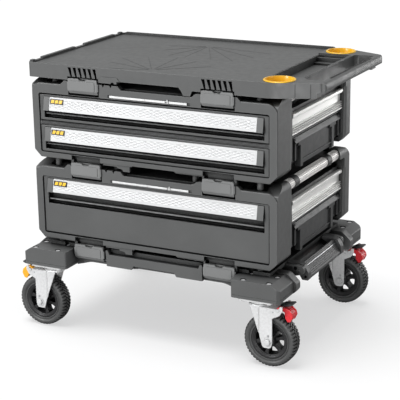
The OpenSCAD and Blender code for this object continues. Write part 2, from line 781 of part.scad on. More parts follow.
module caster_bolts() placed() color(steel) front_and_back() both_sides()
    for (x = bolt_x, y = bolt_y) translate([swivel_x + x, swivel_y + y, 0]) {
        translate([0, 0, pad_bottom - 10]) cylinder(h = bolt_head_z - pad_bottom + 12, r = 4);
        translate([0, 0, bolt_head_z]) cylinder(h = 5, r = 7, $fn = 6);
        translate([0, 0, pad_bottom - plate_t - 5]) cylinder(h = 5, r = 7, $fn = 6);
    }

// Ribbed foot plate with a scoop behind it and a cheek at each end, on a pin in the dolly's lugs
module foot_pedal() placed() color(dark_plastic) difference() {
    union() {
        along_y(-pedal_half + 18, pedal_half - 18) polygon(rounded([
            [354, 230], [366, 222], [379, 223], [384, 246], [391, 249], [414, 212], [414, 206],
            [408, 206], [404, 223], [398, 229], [387, 228], [385, 215], [366, 213], [354, 221]
        ], [0, 6, 5, 3, 3, 4, 0, 0, 4, 3, 3, 3, 6, 0]));
        // Fine ribs along the plate
        for (i = [0:6])
            rod_y(-pedal_half + 24, pedal_half - 24, 393.6 + i * 2.9, 244.8 - i * 4.7, 1.3);
        for (y = [-pedal_half, pedal_half - 20])
            along_y(y, y + 20) polygon(rounded([
                [354, 246], [372, 236], [388, 222], [398, 206], [416, 206], [416, 228], [404, 249],
                [388, 254], [354, 254]
            ], [2, 6, 6, 2, 2, 10, 10, 12, 2]));
    }
    rod_y(-pedal_half - 1, pedal_half + 1, pedal_pin[0], pedal_pin[1], pedal_pin_r + running);
    // Lightening holes in the cheeks' end faces
    for (y = [-pedal_half - 1, pedal_half - 7]) {
        rod_y(y, y + 8, 380, 243, 5);
        rod_y(y, y + 8, 408, 216, 4);
    }
}

// ---------------------------------------------------------------- casters

// Draws a front right piece at the chosen corner
module at_corner(side, end) {
    mirror([side < 0 ? 1 : 0, 0, 0]) mirror([0, end > 0 ? 1 : 0, 0]) children();
}

// Side plate of the fork, seen from the front
module fork_plate() {
    polygon(rounded([
        [swivel_x - 18, head_z], [axle_x - 22, 84], [axle_x - 14, 60], [axle_x + 8, 56],
        [axle_x + 13, 72], [axle_x + 13, 146], [axle_x + 34, 158], [axle_x + 43, 174],
        [axle_x + 43, 183], [axle_x + 34, 183], [axle_x + 27, head_z]
    ], [2, 10, 8, 8, 4, 3, 10, 3, 2, 2, 3]));
}

module fork(side, end) placed() color(zinc) at_corner(side, end) {
    difference() {
        union() {
            for (y = [-leg_in - leg_t, leg_in])
                along_y(swivel_y + y, swivel_y + y + leg_t) fork_plate();
            along_z(head_z - 4, head_z) polygon(rounded(
                rect(swivel_x - 18, swivel_y - leg_in - 1, swivel_x + 56, swivel_y + leg_in + 1),
                [10, 2, 2, 10]));
            translate([swivel_x, swivel_y, head_z - 4]) cylinder(h = 8, r = 30);
        }
        translate([swivel_x, swivel_y, head_z - 6]) cylinder(h = 14, r = kingpin_r + running);
        translate([swivel_x, swivel_y, head_z - 12]) cylinder(h = 7.9, r = 15);
        rod_y(swivel_y - 40, swivel_y + 40, axle_x, wheel_r, axle_r + snug);
        rod_y(swivel_y - 40, swivel_y + 40, fork_pin[0], fork_pin[1], fork_pin_r + snug);
        // Crease down the outer face of each leg
        for (y = [-leg_in - leg_t - 1, leg_in + leg_t - 1.2])
            block([crease_x, swivel_y + y, 96], [crease_x + 4, swivel_y + y + 2.2, head_z + 1]);
    }
    // Axle bolt with its head and nut
    rod_y(swivel_y - leg_in - leg_t - 2, swivel_y + leg_in + leg_t + 2, axle_x, wheel_r, axle_r);
    for (y = [-leg_in - leg_t - 6, leg_in + leg_t])
        rod_y(swivel_y + y, swivel_y + y + 6, axle_x, wheel_r, axle_r + 4);
    // Brake pin
    rod_y(swivel_y - leg_in - leg_t, swivel_y + leg_in + leg_t, fork_pin[0], fork_pin[1], fork_pin_r);
}

module rim(side, end) placed() color(rim_black) at_corner(side, end)
    translate([axle_x, swivel_y, wheel_r]) rotate([90, 0, 0]) {
        rotate_extrude() polygon([
            [axle_r + running, -26], [17, -26], [17, -16], [17, 16], [17, 26], [axle_r + running, 26]
        ]);
        rotate_extrude() polygon([
            [40, -17], [49, -17], [49, -19], [53, -19], [53, -16], [50, -14], [50, 14], [53, 16],
            [53, 19], [49, 19], [49, 17], [40, 17]
        ]);
        for (a = [0:60:300]) rotate([0, 0, a + 15])
            translate([16, -4.5, -11]) cube([25, 9, 22]);
    }

module tyre(side, end) placed() color(rubber_grey) at_corner(side, end)
    translate([axle_x, swivel_y, wheel_r]) rotate([90, 0, 0]) rotate_extrude($fn = 96) polygon(rounded(
        [[50 + snug, -13.9], [53 + snug, -15.9], [53.1, -19], [58, -tyre_w / 2], [68, -tyre_w / 2],
         [wheel_r, -tyre_w / 2 + 9], [wheel_r, tyre_w / 2 - 9], [68, tyre_w / 2], [58, tyre_w / 2],
         [53.1, 19], [53 + snug, 15.9], [50 + snug, 13.9]],
        [0, 0, 0, 3, 5, 5, 5, 5, 3, 0, 0, 0], 3));

// Brake pedal below and release tab above, one rocker on the fork's pin
module brake_pedal(side, end)
    placed() color(side > 0 ? brake_red : brake_orange) at_corner(side, end) difference() {
        union() {
            rod_y(swivel_y - leg_in + 1, swivel_y + leg_in - 1, fork_pin[0], fork_pin[1], 6.5);
            along_y(swivel_y - 17, swivel_y + 17) polygon(rounded([
                [398, 174], [402, 166], [411, 162], [413, 149], [420, 137], [426, 139], [434, 153],
                [431, 163], [421, 173]
            ], [0, 2, 6, 4, 3, 3, 4, 4, 6]));
            along_y(swivel_y - 13, swivel_y + 15) polygon(rounded([
                [394, 174], [400, 177], [418, 181], [432, 184], [432, 187], [418, 187], [398, 182]
            ], [0, 2, 6, 1, 1, 6, 3]));
        }
        rod_y(swivel_y - leg_in, swivel_y + leg_in, fork_pin[0], fork_pin[1], fork_pin_r + running);
    }

module front_left_fork() fork(-1, -1);
module front_right_fork() fork(1, -1);
module rear_left_fork() fork(-1, 1);
module rear_right_fork() fork(1, 1);
module front_left_rim() rim(-1, -1);
module front_right_rim() rim(1, -1);
module rear_left_rim() rim(-1, 1);
module rear_right_rim() rim(1, 1);
module front_left_tyre() tyre(-1, -1);
module front_right_tyre() tyre(1, -1);
module rear_left_tyre() tyre(-1, 1);
module rear_right_tyre() tyre(1, 1);
module front_left_brake_pedal() brake_pedal(-1, -1);
module front_right_brake_pedal() brake_pedal(1, -1);
module rear_left_brake_pedal() brake_pedal(-1, 1);
module rear_right_brake_pedal() brake_pedal(1, 1);

worktop();
worktop_grip();
cup_holders();
upper_housing();
upper_front_bezel();
lower_housing();
lower_front_bezel();
rear_covers();
side_rails();
side_handles();
handle_collars();
slide_outer_members();
stacking_feet();
hinge_pins();
dolly_base();
caster_plates();
caster_bolts();
drawer_1_bin();
drawer_1_front();
drawer_1_pull();
drawer_1_end_caps();
drawer_1_slide_inner();
drawer_2_bin();
drawer_2_front();
drawer_2_pull();
drawer_2_end_caps();
drawer_2_slide_inner();
drawer_3_bin();
drawer_3_front();
drawer_3_pull();
drawer_3_end_caps();
drawer_3_slide_inner();
drawer_1_slide_middle();
drawer_2_slide_middle();
drawer_3_slide_middle();
worktop_latch_left();
worktop_latch_right();
upper_latch_left();
upper_latch_right();
dolly_latch_left();
dolly_latch_right();
upper_lock_bar();
lower_lock_bar();
foot_pedal();
front_left_fork();
front_left_rim();
front_left_tyre();
front_left_brake_pedal();
front_right_fork();
front_right_rim();
front_right_tyre();
front_right_brake_pedal();
rear_left_fork();
rear_left_rim();
rear_left_tyre();
rear_left_brake_pedal();
rear_right_fork();
rear_right_rim();
rear_right_tyre();
rear_right_brake_pedal();
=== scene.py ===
import json
import math

import bmesh
import bpy
from mathutils import Matrix, Vector


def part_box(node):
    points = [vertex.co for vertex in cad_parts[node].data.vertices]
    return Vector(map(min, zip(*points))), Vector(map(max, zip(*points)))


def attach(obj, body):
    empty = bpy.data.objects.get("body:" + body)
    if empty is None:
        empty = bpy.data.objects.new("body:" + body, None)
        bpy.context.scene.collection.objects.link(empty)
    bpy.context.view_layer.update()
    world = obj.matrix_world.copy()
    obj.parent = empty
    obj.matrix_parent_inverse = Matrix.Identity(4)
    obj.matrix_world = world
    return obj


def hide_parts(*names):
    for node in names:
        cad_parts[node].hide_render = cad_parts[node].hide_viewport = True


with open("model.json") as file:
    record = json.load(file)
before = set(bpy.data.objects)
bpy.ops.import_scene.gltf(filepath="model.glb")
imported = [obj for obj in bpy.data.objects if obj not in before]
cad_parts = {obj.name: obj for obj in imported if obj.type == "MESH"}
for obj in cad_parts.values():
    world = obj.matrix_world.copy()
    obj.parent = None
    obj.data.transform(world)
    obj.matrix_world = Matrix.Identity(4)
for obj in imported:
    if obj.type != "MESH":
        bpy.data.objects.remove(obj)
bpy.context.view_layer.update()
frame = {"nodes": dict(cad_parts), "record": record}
NODES = frame["nodes"]
MM = 0.001

# Middle of the storage boxes: the footprint's middle is shifted by the push handle
upper_low, upper_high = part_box("upper_front_bezel")
BOX_X = (upper_low.x + upper_high.x) / 2


# ---------------------------------------------------------------- materials

PLAIN_SPECULAR = 0.5


class Shader:
    """Builds one node material around a Principled BSDF."""

    def __init__(self, name):
        self.material = bpy.data.materials.new(name)
        self.material.use_nodes = True
        self.tree = self.material.node_tree
        self.bsdf = self.tree.nodes["Principled BSDF"]
        self.coords = self.tree.nodes.new("ShaderNodeTexCoord").outputs["Object"]

    def node(self, kind, settings=None, **inputs):
        """Adds a node; each input is a value or the socket that feeds it."""
        made = self.tree.nodes.new(kind)
        for key, value in (settings or {}).items():
            setattr(made, key, value)
        for key, value in inputs.items():
            self.plug(value, made.inputs[key.replace("_", " ")])
        return made

    def plug(self, value, socket):
        if isinstance(value, bpy.types.NodeSocket):
            self.tree.links.new(value, socket)
        else:
            socket.default_value = value

    def set(self, **inputs):
        for key, value in inputs.items():
            self.plug(value, self.bsdf.inputs[key.replace("_", " ")])

    def stretched(self, scale):
        return self.node("ShaderNodeMapping", Vector=self.coords, Scale=scale).outputs["Vector"]

    def noise(self, scale, detail=3.0, vector=None):
        made = self.node("ShaderNodeTexNoise", Vector=vector or self.coords, Scale=scale, Detail=detail)
        return made.outputs["Fac"]

    def spread(self, value, low, high, start=0.3, end=0.7):
        """Maps the start to end range of a value onto low to high."""
        made = self.node("ShaderNodeMapRange", Value=value)
        made.inputs["From Min"].default_value = start
        made.inputs["From Max"].default_value = end
        made.inputs["To Min"].default_value = low
        made.inputs["To Max"].default_value = high
        return made.outputs["Result"]

    def mix(self, fac, a, b, blend="MIX"):
        made = self.node("ShaderNodeMix", {"data_type": "RGBA", "blend_type": blend})
        self.plug(fac, made.inputs[0])
        self.plug(a, made.inputs[6])
        self.plug(b, made.inputs[7])
        return made.outputs[2]

    def bump(self, height, strength, distance):
        made = self.node("ShaderNodeBump", Height=height, Strength=strength, Distance=distance)
        return made.outputs["Normal"]

    def times(self, a, b):
        made = self.node("ShaderNodeMath", {"operation": "MULTIPLY"})
        self.plug(a, made.inputs[0])
        self.plug(b, made.inputs[1])
        return made.outputs[0]

    def shaded(self, colour, distance, dark, start=0.18, end=0.72):
        """Paints shade into recesses up to the given depth: the colour darkens there and its gloss fades
        with it.
        """
        ao = self.node("ShaderNodeAmbientOcclusion", {"samples": 8}, Distance=distance)
        value = self.spread(ao.outputs["AO"], dark, 1.0, start, end)
        self.set(Specular_IOR_Level=self.times(value, PLAIN_SPECULAR))
        return self.mix(1.0, colour, value, "MULTIPLY")

    def edges(self, radius):
        """0 on flat faces, rising to 1 along sharp edges."""
        soft = self.node("ShaderNodeBevel", {"samples": 4}, Radius=radius).outputs["Normal"]
        true = self.node("ShaderNodeNewGeometry").outputs["Normal"]
        dot = self.node("ShaderNodeVectorMath", {"operation": "DOT_PRODUCT"})
        self.plug(soft, dot.inputs[0])
        self.plug(true, dot.inputs[1])
        return self.spread(dot.outputs["Value"], 1.0, 0.0, 0.90, 0.995)


def tint(rgb, share):
    """The colour made darker or lighter, with its alpha."""
    return tuple(min(1.0, c * share) for c in rgb) + (1.0,)


def moulded_plastic(name, rgb, rough=0.42, grain=0.25, edge_wear_and_highlight=0.6, reach=60.0,
                    hollow=(0.06, 0.25, 0.85)):
    """Moulded plastic: fine spark-eroded grain, lighter edges that are partly polished and partly a
    painted highlight, and painted shade in hollows.
    """
    s = Shader(name)
    broad = s.spread(s.noise(7.0, 4.0), 0.0, 1.0)
    colour = s.mix(broad, tint(rgb, 0.93), tint(rgb, 1.07))
    fine = s.noise(1500.0, 2.0)
    colour = s.mix(s.spread(fine, 0.0, 0.10), colour, tint(rgb, 1.5))
    # Lighter edges: partly polish, partly a painted highlight where bevels catch the light.
    if edge_wear_and_highlight:
        worn_and_highlit = s.times(s.edges(1.6 * MM), edge_wear_and_highlight)
        colour = s.mix(worn_and_highlit, colour, tint(rgb, 2.4))
    # Painted shade in hollows, within the reach.
    colour = s.shaded(colour, reach * MM, *hollow)
    s.set(Base_Color=colour, Roughness=s.spread(s.noise(60.0, 5.0), rough - 0.05, rough + 0.07))
    s.set(Normal=s.bump(fine, grain, 0.15 * MM))
    return s.material


def brushed_metal(name, rgb, along, rough, lines, metallic, groove=0.0, dark=0.25):
    """Metal with fine lines running along one axis; painted shade darkens hollows up to the given depth.
    """
    scale = [1400.0, 1400.0, 1400.0]
    scale["XYZ".index(along)] = 6.0
    s = Shader(name)
    brush = s.noise(1.0, 4.0, s.stretched(scale))
    colour = s.mix(s.spread(brush, 0.0, 1.0), tint(rgb, 0.95), tint(rgb, 1.04))
    # Painted shade in hollows and grooves.
    if groove:
        colour = s.shaded(colour, groove, dark, 0.4, 0.95)
    s.set(Base_Color=colour, Metallic=metallic, Roughness=s.spread(brush, rough - 0.05, rough + 0.07))
    s.set(Normal=s.bump(brush, lines, 0.05 * MM))
    return s.material


def zinc_plate(name, rgb, rough, metallic=0.85, dark=0.25):
    """Bright zinc: faint spangle, handling marks, and painted shade in hollows."""
    s = Shader(name)
    cells = s.node("ShaderNodeTexVoronoi", Vector=s.coords, Scale=160.0).outputs["Distance"]
    colour = s.mix(s.spread(cells, 0.0, 1.0, 0.0, 0.8), tint(rgb, 1.05), tint(rgb, 0.93))
    # Painted shade in hollows.
    colour = s.shaded(colour, 9 * MM, dark, 0.4, 0.95)
    cloud = s.noise(45.0, 6.0)
    s.set(Base_Color=colour, Metallic=metallic, Roughness=s.spread(cloud, rough - 0.08, rough + 0.12))
    s.set(Normal=s.bump(cloud, 0.05, 0.3 * MM))
    return s.material


def rubber(name, rgb):
    """Matt rubber: dust in patches, lighter edges that are partly rubbed and partly a painted highlight,
    and painted shade in the grooves.
    """
    s = Shader(name)
    dust = s.spread(s.noise(38.0, 6.0), 0.0, 0.5)
    fine = s.noise(1100.0, 3.0)
    colour = s.mix(dust, tint(rgb, 0.85), tint(rgb, 1.45))
    # Lighter edges: partly rubbed, partly a painted highlight.
    colour = s.mix(s.times(s.edges(1.0 * MM), 0.6), colour, tint(rgb, 2.4))
    # Painted shade in the grooves.
    colour = s.shaded(colour, 8 * MM, 0.03, 0.42, 0.92)
    s.set(Base_Color=colour, Roughness=s.spread(fine, 0.38, 0.55))
    s.set(Normal=s.bump(fine, 0.3, 0.2 * MM))
    return s.material


def glossy_plastic(name, rgb):
    """Coloured plastic with faint flow marks under a thin gloss."""
    s = Shader(name)
    broad = s.spread(s.noise(14.0, 3.0), 0.0, 1.0)
    flow = s.noise(220.0, 3.0)
    s.set(Base_Color=s.mix(broad, tint(rgb, 0.93), tint(rgb, 1.05)), Coat_Weight=0.15)
    s.set(Roughness=s.spread(flow, 0.23, 0.36), Normal=s.bump(flow, 0.06, 0.2 * MM))
    return s.material


def powder_coat(name, rgb):
    """Painted steel with a slight orange peel."""
    s = Shader(name)
    peel = s.noise(420.0, 2.0)
    colour = s.mix(s.spread(peel, 0.0, 1.0), tint(rgb, 0.9), tint(rgb, 1.15))
    s.set(Base_Color=colour, Roughness=s.spread(s.noise(30.0), 0.35, 0.5))
    s.set(Normal=s.bump(peel, 0.25, 0.15 * MM))
    return s.material


GREY = (0.090, 0.092, 0.092)

# The record's slots first, then finishes that only some pieces have
MATERIALS = {
    "grey_plastic": moulded_plastic("grey_plastic", GREY),
    "dark_plastic": moulded_plastic("dark_plastic", (0.038, 0.039, 0.040)),
    "latch_plastic": moulded_plastic("latch_plastic", (0.175, 0.178, 0.178), 0.45, 0.4, 0.25),
    "grip_rubber": rubber("grip_rubber", (0.035, 0.035, 0.035)),
    "cup_plastic": glossy_plastic("cup_plastic", (0.80, 0.46, 0.018)),
    "aluminium": brushed_metal("aluminium", (0.96, 0.96, 0.94), "Y", 0.34, 0.03, 0.60, 6.0 * MM, 0.2),
    "pull_aluminium": brushed_metal("pull_aluminium", (0.57, 0.575, 0.58), "X", 0.52, 0.03, 0.25),
    "steel": zinc_plate("steel", (0.60, 0.61, 0.63), 0.34),
    "drawer_steel": powder_coat("drawer_steel", (0.06, 0.06, 0.065)),
    "zinc": zinc_plate("zinc", (0.82, 0.825, 0.83), 0.42, 0.35),
    "rim_plastic": moulded_plastic("rim_plastic", (0.022, 0.022, 0.023), 0.42, 0.2, 0.2),
    "tyre": rubber("tyre", (0.068, 0.069, 0.069)),
    "brake_red": glossy_plastic("brake_red", (0.72, 0.035, 0.045)),
    "brake_orange": glossy_plastic("brake_orange", (0.90, 0.42, 0.03)),
    "bar_aluminium": brushed_metal("bar_aluminium", (0.96, 0.94, 0.92), "Y", 0.38, 0.02, 0.50,
                                   3.0 * MM, 0.15),
    "pedal_plastic": moulded_plastic("pedal_plastic", (0.055, 0.056, 0.057), edge_wear_and_highlight=0.3, reach=10.0),
    # Grey plastic with deeper painted shade in the drawer fronts' recesses.
    "front_plastic_deep_shade": moulded_plastic("front_plastic_deep_shade", GREY, reach=34.0, hollow=(0.04, 0.50, 0.93)),
    "bolt_zinc": zinc_plate("bolt_zinc", (0.80, 0.80, 0.81), 0.35, 0.4, 0.8),
    "badge_black": moulded_plastic("badge_black", (0.012, 0.012, 0.012), 0.35, 0.1, 0.0),
    "badge_yellow": glossy_plastic("badge_yellow", (0.80, 0.50, 0.03)),
}


# ---------------------------------------------------------------- mesh building

def place(x, y, z):
    """A point given in millimetres from the boxes' middle, in the frame's metres."""
    return (BOX_X + x * MM, y * MM, z * MM)


def smoothing(angle):
    """Node group that shades smooth except across edges sharper than the angle."""
    name = f"smooth_{angle}"
    if name in bpy.data.node_groups:
        return bpy.data.node_groups[name]
    group = bpy.data.node_groups.new(name, "GeometryNodeTree")
    group.interface.new_socket("Geometry", in_out="INPUT", socket_type="NodeSocketGeometry")
    group.interface.new_socket("Geometry", in_out="OUTPUT", socket_type="NodeSocketGeometry")
    start, end = group.nodes.new("NodeGroupInput"), group.nodes.new("NodeGroupOutput")
    faces = group.nodes.new("GeometryNodeSetShadeSmooth")
    faces.domain = "FACE"
    edges = group.nodes.new("GeometryNodeSetShadeSmooth")
    edges.domain = "EDGE"
    edges.inputs["Shade Smooth"].default_value = False
    between = group.nodes.new("GeometryNodeInputMeshEdgeAngle")
    sharp = group.nodes.new("FunctionNodeCompare")
    sharp.operation = "GREATER_THAN"
    sharp.inputs["B"].default_value = math.radians(angle)
    group.links.new(between.outputs["Unsigned Angle"], sharp.inputs["A"])
    group.links.new(sharp.outputs["Result"], edges.inputs["Selection"])
    group.links.new(start.outputs["Geometry"], faces.inputs["Geometry"])
    group.links.new(faces.outputs["Geometry"], edges.inputs["Geometry"])
    group.links.new(edges.outputs["Geometry"], end.inputs["Geometry"])
    return group


BEVEL_ABOVE = 28.0
SMOOTH_BELOW = 32


def soften(obj, bevel, segments=2, smooth=SMOOTH_BELOW):
    """Rounds sharp edges with a bevel in millimetres, then shades the result smoothly."""
    if bevel:
        soft = obj.modifiers.new("soft", "BEVEL")
        soft.width = bevel * MM
        soft.segments = segments
        soft.limit_method = "ANGLE"
        soft.angle_limit = math.radians(BEVEL_ABOVE)
        soft.miter_outer = "MITER_ARC"
    obj.modifiers.new("smooth", "NODES").node_group = smoothing(smooth)
    if bevel:
        weight = obj.modifiers.new("weight", "WEIGHTED_NORMAL")
        weight.keep_sharp = True
        weight.weight = 80


class Shape:
    """Collects closed shells, in millimetres from the boxes' middle."""

    def __init__(self):
        self.points = []
        self.faces = []

    def add(self, points, faces):
        start = len(self.points)
        self.points += [tuple(p) for p in points]
        self.faces += [[start + i for i in face] for face in faces]

    def loft(self, rings, closed=False):
        """Skins equal rings of points; closed joins the last ring to the first."""
        count = len(rings[0])
        points = [p for ring in rings for p in ring]
        faces = []
        for i in range(len(rings) if closed else len(rings) - 1):
            a, b = i * count, ((i + 1) % len(rings)) * count
            for j in range(count):
                k = (j + 1) % count
                faces.append([a + j, a + k, b + k, b + j])
        if not closed:
            faces.append(list(range(count)))
            faces.append(list(range((len(rings) - 1) * count, len(rings) * count)))
        self.add(points, faces)

    def prism(self, outline, axis, start, end):
        """Extrudes an outline of the two other axes, taken in x, y, z order."""
        rings = []
        for level in (start, end):
            ring = []
            for u, v in outline:
                point = [u, v]
                point.insert("xyz".index(axis), level)
                ring.append(tuple(point))
            rings.append(ring)
        self.loft(rings)

    def block(self, low, high):
        (x0, y0, z0), (x1, y1, z1) = low, high
        self.prism([(x0, y0), (x1, y0), (x1, y1), (x0, y1)], "z", z0, z1)

    def lathe(self, profile, centre, steps, axis="y"):
        """Turns a closed (radius, along) profile about an axis through the centre."""
        rings = []
        for i in range(steps):
            angle = 2 * math.pi * i / steps
            c, s = math.cos(angle), math.sin(angle)
            ring = []
            for radius, along in profile:
                if axis == "y":
                    offset = (radius * c, along, radius * s)
                else:
                    offset = (radius * c, radius * s, along)
                ring.append(tuple(a + b for a, b in zip(centre, offset)))
            rings.append(ring)
        self.loft(rings, closed=True)

    def disc(self, centre, axis, radius, start, end, steps):
        """A plain cylinder or, with few steps, a nut."""
        u, v = [c for i, c in enumerate(centre) if "xyz"[i] != axis]
        turns = [2 * math.pi * i / steps for i in range(steps)]
        outline = [(u + radius * math.cos(turn), v + radius * math.sin(turn)) for turn in turns]
        self.prism(outline, axis, start, end)

    def to_corner(self, side, end):
        """Mirrors a shape made for the front right caster to another corner."""
        self.points = [(side * x, -end * y, z) for x, y, z in self.points]

    def piece(self, name, material, body, bevel=0.0, stands_for=(),
              smooth=SMOOTH_BELOW, segments=2):
        """Turns the shells into one object that rides on a body."""
        mesh = bpy.data.meshes.new(name)
        mesh.from_pydata([place(*p) for p in self.points], [], self.faces)
        work = bmesh.new()
        work.from_mesh(mesh)
        bmesh.ops.recalc_face_normals(work, faces=work.faces)
        work.to_mesh(mesh)
        work.free()
        mesh.materials.append(MATERIALS[material])
        obj = bpy.data.objects.new(name, mesh)
        bpy.context.scene.collection.objects.link(obj)
        soften(obj, bevel, segments, smooth)
        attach(obj, body)
        if stands_for:
            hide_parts(*stands_for)


ARC_STEPS = 4


def rounded(points, radii):
    """Outline with each corner rounded by its own radius."""
    out = []
    for i, (point, radius) in enumerate(zip(points, radii)):
        if radius <= 0:
            out.append(point)
            continue
        here = Vector(point)
        a = (Vector(points[i - 1]) - here).normalized()
        b = (Vector(points[(i + 1) % len(points)]) - here).normalized()
        half = a.angle(b) / 2
        centre = here + (a + b).normalized() * (radius / math.sin(half))
        first = here + a * (radius / math.tan(half)) - centre
        last = here + b * (radius / math.tan(half)) - centre
        sweep = first.angle_signed(last)
        for k in range(ARC_STEPS + 1):
            turned = first.copy()
            turned.rotate(Matrix.Rotation(-sweep * k / ARC_STEPS, 2))
            out.append(tuple(centre + turned))
    return out


# ---------------------------------------------------------------- casters

# Every caster is made at the front right corner, then mirrored to its own
SWIVEL_X = 330.0
SWIVEL_Y = -266.0
AXLE_X = 366.0
AXLE_Z = 76.2
AXLE = (AXLE_X, SWIVEL_Y, AXLE_Z)
CORNERS = {
    "front_left": (-1, -1),
    "front_right": (1, -1),
    "rear_left": (-1, 1),
    "rear_right": (1, 1),
}
TREAD_BLOCKS = 46
BLOCK_TAPER = 0.84
SPOKES = 6
SPOKE_START = 15
CHEEK_FACE = 31.0
CHEEK_BACK = 27.2
CREASE_X = 340.0
CREASE_TILT = 0.16
CREASE_HALF = 3.0
CREASE_DEPTH = 2.6
FORK_TOP = 174.0
BRAKE_PIN = (396, 172.0)


def both_ways(profile):
    """A half profile of (radius, along), closed by its mirror image."""
    return profile + [(radius, -along) for radius, along in reversed(profile)]


def tread_row(shape, stations, phase, share, skew=0.0):
    """A ring of tread blocks; each station is (along, top radius, base radius)."""
    pitch = 2 * math.pi / TREAD_BLOCKS
    for i in range(TREAD_BLOCKS):
        rings = []
        for along, top, base in stations:
            middle = (i + phase) * pitch + skew * along
            ring = []
            for radius, half, sign in ((base, share, -1), (base, share, 1),
                                       (top, share * BLOCK_TAPER, 1), (top, share * BLOCK_TAPER, -1)):
                angle = middle + sign * half * pitch / 2
                ring.append((AXLE_X + radius * math.cos(angle), SWIVEL_Y + along,
                             AXLE_Z + radius * math.sin(angle)))
            rings.append(ring)
        shape.loft(rings)


def tyre_piece(corner, side, end):
    """Round sidewalls with a raised bead, and three staggered rows of tread blocks."""
    wall = [(50.1, 13.0), (50.1, 16.0), (53.0, 18.2), (54.5, 20.2), (56.5, 20.4), (57.8, 19.2),
            (59.0, 19.4), (60.5, 21.0), (63.0, 22.4), (66.0, 22.9), (69.0, 22.2), (71.2, 20.4),
            (72.6, 17.5), (73.4, 12.0), (73.6, 6.0)]
    body = Shape()
    body.lathe(both_ways(wall), AXLE, steps=96)
    shoulder = [(22.0, 70.2, 66.5), (20.2, 73.4, 69.5), (16.5, 75.4, 71.5), (12.0, 76.1, 72.5),
                (6.6, 76.2, 72.5)]
    middle = [(4.6, 76.2, 72.5), (0.0, 76.2, 72.5), (-4.6, 76.2, 72.5)]
    tread_row(body, shoulder, 0.0, 0.62)
    tread_row(body, [(-along, top, base) for along, top, base in shoulder], 0.5, 0.62)
    tread_row(body, middle, 0.25, 0.70, 0.012)
    body.to_corner(side, end)
    body.piece(f"{corner}_tyre_tread", "tyre", f"{corner}_wheel",
               stands_for=[f"{corner}_tyre"], smooth=35)


def rim_piece(corner, side, end):
    """Stepped ring, six wide spokes with open windows, and a hub with bearing covers."""
    body = Shape()
    lip = [(50.0, 13.0), (50.0, 15.6), (52.6, 17.8), (52.4, 19.0), (48.5, 19.0), (47.0, 17.6),
           (45.4, 17.4), (44.2, 15.8), (42.4, 15.4), (41.0, 12.5), (40.2, 4.0)]
    body.lathe(both_ways(lip), AXLE, steps=96)
    hub = [(6.2, 26.0), (12.0, 26.0), (13.0, 25.2), (14.0, 25.2), (14.6, 26.0), (16.6, 26.0),
           (17.4, 25.0), (18.4, 14.0), (20.5, 9.0)]
    waist = [(20.5, 0.0)]
    body.lathe(hub + waist + [(radius, -along) for radius, along in reversed(hub)], AXLE, steps=64)
    sections = ((18.0, 6.6, 11.5), (24.0, 5.2, 10.5), (32.0, 4.8, 10.5), (42.0, 7.0, 12.0))
    chamfer = 1.4
    for i in range(SPOKES):
        turn = math.radians(360 / SPOKES * i + SPOKE_START)
        c, s = math.cos(turn), math.sin(turn)
        rings = []
        for reach, half, depth in sections:
            narrow, proud = half - chamfer, depth + chamfer
            ring = []
            for across, along in ((-half, -depth), (-narrow, -proud), (narrow, -proud), (half, -depth),
                                  (half, depth), (narrow, proud), (-narrow, proud), (-half, depth)):
                ring.append((AXLE_X + reach * c - across * s, SWIVEL_Y + along,
                             AXLE_Z + reach * s + across * c))
            rings.append(ring)
        body.loft(rings)
    body.to_corner(side, end)
    body.piece(f"{corner}_spoked_rim", "rim_plastic", f"{corner}_wheel", bevel=0.5,
               stands_for=[f"{corner}_rim"])


def creased_plate(shape, outline, y_face, y_back):
    """A pressed plate in the x-z plane whose part left of the crease bends towards the wheel."""
    work = bmesh.new()
    work.faces.new([work.verts.new((x, 0.0, z)) for x, z in outline])
    for level in (CREASE_X - CREASE_HALF, CREASE_X, CREASE_X + CREASE_HALF):
        geometry = list(work.verts) + list(work.edges) + list(work.faces)
        bmesh.ops.bisect_plane(work, geom=geometry, plane_co=(level, 0, 0), plane_no=(1, 0, 0))
    work.verts.index_update()
    inward = 1.0 if y_face < SWIVEL_Y else -1.0
    points = []
    for y in (y_face, y_back):
        for vertex in work.verts:
            x, _, z = vertex.co
            bend = max(0.0, CREASE_X - x) * CREASE_TILT
            dent = CREASE_DEPTH if abs(x - CREASE_X) < 0.1 else 0.0
            points.append((x, y + inward * (bend + dent), z))
    count = len(work.verts)
    faces = []
    for face in work.faces:
        ring = [v.index for v in face.verts]
        faces.append(ring)
        faces.append([i + count for i in ring])
    for edge in work.edges:
        if edge.is_boundary:
            a, b = (v.index for v in edge.verts)
            faces.append([a, b, b + count, a + count])
    work.free()
    shape.add(points, faces)


